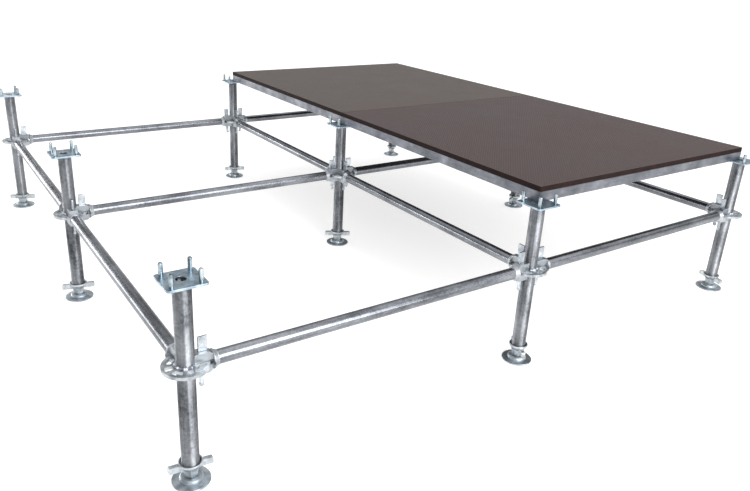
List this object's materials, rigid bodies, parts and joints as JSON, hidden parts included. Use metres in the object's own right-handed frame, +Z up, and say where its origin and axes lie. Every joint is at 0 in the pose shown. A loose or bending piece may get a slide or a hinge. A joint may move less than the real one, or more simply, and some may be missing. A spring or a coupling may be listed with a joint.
{
  "type": "modular stage riser platform",
  "caption": "Low modular stage riser: tube legs on screw feet, wedge-locked ledgers round rosettes, and brown plywood decks that lift off locating pins.",
  "frame": {"origin": "on the floor under the axis of the centre leg", "axes": "+Z up, +X towards the decked side, +Y from the front row of legs to the back row"},
  "size_m": [2.562, 2.5616, 0.648],
  "materials": {
    "galvanised_steel": "hot-dip galvanised, satin",
    "zinc_plated_steel": "electro zinc plated, bright",
    "film_faced_plywood": "phenolic film with a fine wire-mesh imprint",
    "frame_aluminium": "mill finish, dull"
  },
  "bodies": {
    "framework": {"leg_front_left": "galvanised_steel", "leg_front_centre": "galvanised_steel", "leg_front_right": "galvanised_steel", "leg_middle_left": "galvanised_steel", "leg_middle_centre": "galvanised_steel", "leg_middle_right": "galvanised_steel", "leg_back_left": "galvanised_steel", "leg_back_centre": "galvanised_steel", "leg_back_right": "galvanised_steel", "rosettes": "galvanised_steel", "head_plates": "zinc_plated_steel", "locating_pins": "zinc_plated_steel", "ledger_front_left_to_centre": "galvanised_steel", "ledger_front_centre_to_right": "galvanised_steel", "ledger_middle_left_to_centre": "galvanised_steel", "ledger_middle_centre_to_right": "galvanised_steel", "ledger_back_left_to_centre": "galvanised_steel", "ledger_back_centre_to_right": "galvanised_steel", "ledger_front_left_to_middle": "galvanised_steel", "ledger_middle_left_to_back": "galvanised_steel", "ledger_front_centre_to_middle": "galvanised_steel", "ledger_middle_centre_to_back": "galvanised_steel", "ledger_front_right_to_middle": "galvanised_steel", "ledger_middle_right_to_back": "galvanised_steel"},
    "wedges_front_left_to_centre": {"wedges_front_left_to_centre": "zinc_plated_steel"},
    "wedges_front_centre_to_right": {"wedges_front_centre_to_right": "zinc_plated_steel"},
    "wedges_middle_left_to_centre": {"wedges_middle_left_to_centre": "zinc_plated_steel"},
    "wedges_middle_centre_to_right": {"wedges_middle_centre_to_right": "zinc_plated_steel"},
    "wedges_back_left_to_centre": {"wedges_back_left_to_centre": "zinc_plated_steel"},
    "wedges_back_centre_to_right": {"wedges_back_centre_to_right": "zinc_plated_steel"},
    "wedges_front_left_to_middle": {"wedges_front_left_to_middle": "zinc_plated_steel"},
    "wedges_middle_left_to_back": {"wedges_middle_left_to_back": "zinc_plated_steel"},
    "wedges_front_centre_to_middle": {"wedges_front_centre_to_middle": "zinc_plated_steel"},
    "wedges_middle_centre_to_back": {"wedges_middle_centre_to_back": "zinc_plated_steel"},
    "wedges_front_right_to_middle": {"wedges_front_right_to_middle": "zinc_plated_steel"},
    "wedges_middle_right_to_back": {"wedges_middle_right_to_back": "zinc_plated_steel"},
    "wing_nut_front_left": {"wing_nut_front_left": "zinc_plated_steel"},
    "foot_front_left": {"foot_front_left": "zinc_plated_steel"},
    "wing_nut_front_centre": {"wing_nut_front_centre": "zinc_plated_steel"},
    "foot_front_centre": {"foot_front_centre": "zinc_plated_steel"},
    "wing_nut_front_right": {"wing_nut_front_right": "zinc_plated_steel"},
    "foot_front_right": {"foot_front_right": "zinc_plated_steel"},
    "wing_nut_middle_left": {"wing_nut_middle_left": "zinc_plated_steel"},
    "foot_middle_left": {"foot_middle_left": "zinc_plated_steel"},
    "wing_nut_middle_centre": {"wing_nut_middle_centre": "zinc_plated_steel"},
    "foot_middle_centre": {"foot_middle_centre": "zinc_plated_steel"},
    "wing_nut_middle_right": {"wing_nut_middle_right": "zinc_plated_steel"},
    "foot_middle_right": {"foot_middle_right": "zinc_plated_steel"},
    "wing_nut_back_left": {"wing_nut_back_left": "zinc_plated_steel"},
    "foot_back_left": {"foot_back_left": "zinc_plated_steel"},
    "wing_nut_back_centre": {"wing_nut_back_centre": "zinc_plated_steel"},
    "foot_back_centre": {"foot_back_centre": "zinc_plated_steel"},
    "wing_nut_back_right": {"wing_nut_back_right": "zinc_plated_steel"},
    "foot_back_right": {"foot_back_right": "zinc_plated_steel"},
    "deck_front": {"deck_panel_front": "film_faced_plywood", "deck_frame_front": "frame_aluminium", "deck_cross_bars_front": "frame_aluminium"},
    "deck_back": {"deck_panel_back": "film_faced_plywood", "deck_frame_back": "frame_aluminium", "deck_cross_bars_back": "frame_aluminium"}
  },
  "joints": [
    {"name": "lift_wedges_front_left_to_centre", "type": "slide", "parent": "framework", "child": "wedges_front_left_to_centre", "axis": [0, 0, 1], "range_m": [0, 0.03]},
    {"name": "lift_wedges_front_centre_to_right", "type": "slide", "parent": "framework", "child": "wedges_front_centre_to_right", "axis": [0, 0, 1], "range_m": [0, 0.03]},
    {"name": "lift_wedges_middle_left_to_centre", "type": "slide", "parent": "framework", "child": "wedges_middle_left_to_centre", "axis": [0, 0, 1], "range_m": [0, 0.03]},
    {"name": "lift_wedges_middle_centre_to_right", "type": "slide", "parent": "framework", "child": "wedges_middle_centre_to_right", "axis": [0, 0, 1], "range_m": [0, 0.03]},
    {"name": "lift_wedges_back_left_to_centre", "type": "slide", "parent": "framework", "child": "wedges_back_left_to_centre", "axis": [0, 0, 1], "range_m": [0, 0.03]},
    {"name": "lift_wedges_back_centre_to_right", "type": "slide", "parent": "framework", "child": "wedges_back_centre_to_right", "axis": [0, 0, 1], "range_m": [0, 0.03]},
    {"name": "lift_wedges_front_left_to_middle", "type": "slide", "parent": "framework", "child": "wedges_front_left_to_middle", "axis": [0, 0, 1], "range_m": [0, 0.03]},
    {"name": "lift_wedges_middle_left_to_back", "type": "slide", "parent": "framework", "child": "wedges_middle_left_to_back", "axis": [0, 0, 1], "range_m": [0, 0.03]},
    {"name": "lift_wedges_front_centre_to_middle", "type": "slide", "parent": "framework", "child": "wedges_front_centre_to_middle", "axis": [0, 0, 1], "range_m": [0, 0.03]},
    {"name": "lift_wedges_middle_centre_to_back", "type": "slide", "parent": "framework", "child": "wedges_middle_centre_to_back", "axis": [0, 0, 1], "range_m": [0, 0.03]},
    {"name": "lift_wedges_front_right_to_middle", "type": "slide", "parent": "framework", "child": "wedges_front_right_to_middle", "axis": [0, 0, 1], "range_m": [0, 0.03]},
    {"name": "lift_wedges_middle_right_to_back", "type": "slide", "parent": "framework", "child": "wedges_middle_right_to_back", "axis": [0, 0, 1], "range_m": [0, 0.03]},
    {"name": "turn_wing_nut_front_left", "type": "hinge", "parent": "framework", "child": "wing_nut_front_left", "pos_m": [-1.22, -1.22, 0.04], "axis": [0, 0, 1], "range_deg": [0, 7200]},
    {"name": "extend_foot_front_left", "type": "slide", "parent": "framework", "child": "foot_front_left", "axis": [0, 0, -1], "range_m": [0, 0.12]},
    {"name": "turn_wing_nut_front_centre", "type": "hinge", "parent": "framework", "child": "wing_nut_front_centre", "pos_m": [0, -1.22, 0.04], "axis": [0, 0, 1], "range_deg": [0, 7200]},
    {"name": "extend_foot_front_centre", "type": "slide", "parent": "framework", "child": "foot_front_centre", "axis": [0, 0, -1], "range_m": [0, 0.12]},
    {"name": "turn_wing_nut_front_right", "type": "hinge", "parent": "framework", "child": "wing_nut_front_right", "pos_m": [1.22, -1.22, 0.04], "axis": [0, 0, 1], "range_deg": [0, 7200]},
    {"name": "extend_foot_front_right", "type": "slide", "parent": "framework", "child": "foot_front_right", "axis": [0, 0, -1], "range_m": [0, 0.12]},
    {"name": "turn_wing_nut_middle_left", "type": "hinge", "parent": "framework", "child": "wing_nut_middle_left", "pos_m": [-1.22, 0, 0.04], "axis": [0, 0, 1], "range_deg": [0, 7200]},
    {"name": "extend_foot_middle_left", "type": "slide", "parent": "framework", "child": "foot_middle_left", "axis": [0, 0, -1], "range_m": [0, 0.12]},
    {"name": "turn_wing_nut_middle_centre", "type": "hinge", "parent": "framework", "child": "wing_nut_middle_centre", "pos_m": [0, 0, 0.04], "axis": [0, 0, 1], "range_deg": [0, 7200]},
    {"name": "extend_foot_middle_centre", "type": "slide", "parent": "framework", "child": "foot_middle_centre", "axis": [0, 0, -1], "range_m": [0, 0.12]},
    {"name": "turn_wing_nut_middle_right", "type": "hinge", "parent": "framework", "child": "wing_nut_middle_right", "pos_m": [1.22, 0, 0.04], "axis": [0, 0, 1], "range_deg": [0, 7200]},
    {"name": "extend_foot_middle_right", "type": "slide", "parent": "framework", "child": "foot_middle_right", "axis": [0, 0, -1], "range_m": [0, 0.12]},
    {"name": "turn_wing_nut_back_left", "type": "hinge", "parent": "framework", "child": "wing_nut_back_left", "pos_m": [-1.22, 1.22, 0.04], "axis": [0, 0, 1], "range_deg": [0, 7200]},
    {"name": "extend_foot_back_left", "type": "slide", "parent": "framework", "child": "foot_back_left", "axis": [0, 0, -1], "range_m": [0, 0.12]},
    {"name": "turn_wing_nut_back_centre", "type": "hinge", "parent": "framework", "child": "wing_nut_back_centre", "pos_m": [0, 1.22, 0.04], "axis": [0, 0, 1], "range_deg": [0, 7200]},
    {"name": "extend_foot_back_centre", "type": "slide", "parent": "framework", "child": "foot_back_centre", "axis": [0, 0, -1], "range_m": [0, 0.12]},
    {"name": "turn_wing_nut_back_right", "type": "hinge", "parent": "framework", "child": "wing_nut_back_right", "pos_m": [1.22, 1.22, 0.04], "axis": [0, 0, 1], "range_deg": [0, 7200]},
    {"name": "extend_foot_back_right", "type": "slide", "parent": "framework", "child": "foot_back_right", "axis": [0, 0, -1], "range_m": [0, 0.12]},
    {"name": "lift_deck_front", "type": "slide", "parent": "framework", "child": "deck_front", "axis": [0, 0, 1], "range_m": [0, 0.3]},
    {"name": "lift_deck_back", "type": "slide", "parent": "framework", "child": "deck_back", "axis": [0, 0, 1], "range_m": [0, 0.3]}
  ],
  "couplings": [
    {"joint": "extend_foot_front_left", "follows": "turn_wing_nut_front_left", "m_per_rad": 0.00095493},
    {"joint": "extend_foot_front_centre", "follows": "turn_wing_nut_front_centre", "m_per_rad": 0.00095493},
    {"joint": "extend_foot_front_right", "follows": "turn_wing_nut_front_right", "m_per_rad": 0.00095493},
    {"joint": "extend_foot_middle_left", "follows": "turn_wing_nut_middle_left", "m_per_rad": 0.00095493},
    {"joint": "extend_foot_middle_centre", "follows": "turn_wing_nut_middle_centre", "m_per_rad": 0.00095493},
    {"joint": "extend_foot_middle_right", "follows": "turn_wing_nut_middle_right", "m_per_rad": 0.00095493},
    {"joint": "extend_foot_back_left", "follows": "turn_wing_nut_back_left", "m_per_rad": 0.00095493},
    {"joint": "extend_foot_back_centre", "follows": "turn_wing_nut_back_centre", "m_per_rad": 0.00095493},
    {"joint": "extend_foot_back_right", "follows": "turn_wing_nut_back_right", "m_per_rad": 0.00095493}
  ]
}
